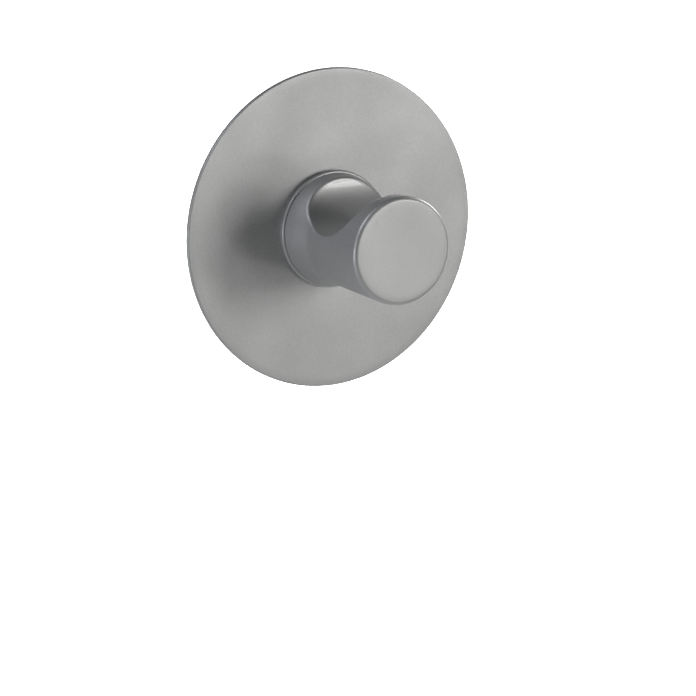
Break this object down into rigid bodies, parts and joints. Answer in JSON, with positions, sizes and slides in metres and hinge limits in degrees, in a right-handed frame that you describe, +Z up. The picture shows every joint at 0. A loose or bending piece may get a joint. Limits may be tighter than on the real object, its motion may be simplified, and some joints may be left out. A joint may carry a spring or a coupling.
{
  "type": "suction wall hook",
  "caption": "Round twist-lock suction wall hook: a thin satin silver disc with a stout round hook body that has a saddle cut across its top for a towel loop.",
  "frame": {"origin": "on the hook's axis, at the wall plane that the disc's gel ring stands on", "axes": "+X to the right and +Z up as seen from the front, +Y into the wall, so the hook stands out along -Y"},
  "size_m": [0.08, 0.037, 0.08],
  "materials": {
    "satin_silver": "satin silver lacquer over die-cast metal",
    "zinc": "raw die-cast zinc",
    "steel": "turned stainless steel",
    "acetal": "machined white acetal",
    "membrane": "soft moulded grey polyurethane",
    "gel": "clear tacky gel film"
  },
  "bodies": {
    "wall_disc": {"face_plate": "satin_silver", "gel_ring": "gel", "suction_membrane": "membrane", "guide_hub": "zinc", "base_ring": "satin_silver", "hub_rivet_1": "steel", "hub_rivet_2": "steel", "hub_rivet_3": "steel", "hub_rivet_4": "steel", "slide_washer": "acetal", "cam_washer": "steel"},
    "stud": {"stud": "steel", "cross_pin": "steel", "anchor_disc": "steel"},
    "hook": {"hook_body": "satin_silver", "cam_ring": "zinc", "stop_screw": "steel"}
  },
  "joints": [
    {"name": "hook_turn", "type": "hinge", "parent": "wall_disc", "child": "hook", "pos_m": [0, 0, 0], "axis": [0, -1, 0], "range_deg": [0, 90]},
    {"name": "stud_travel", "type": "slide", "parent": "wall_disc", "child": "stud", "axis": [0, 1, 0], "range_m": [0, 0.0016], "deforming": ["suction_membrane"]}
  ],
  "couplings": [
    {"joint": "stud_travel", "follows": "hook_turn", "m_per_rad": 0.0010186}
  ]
}
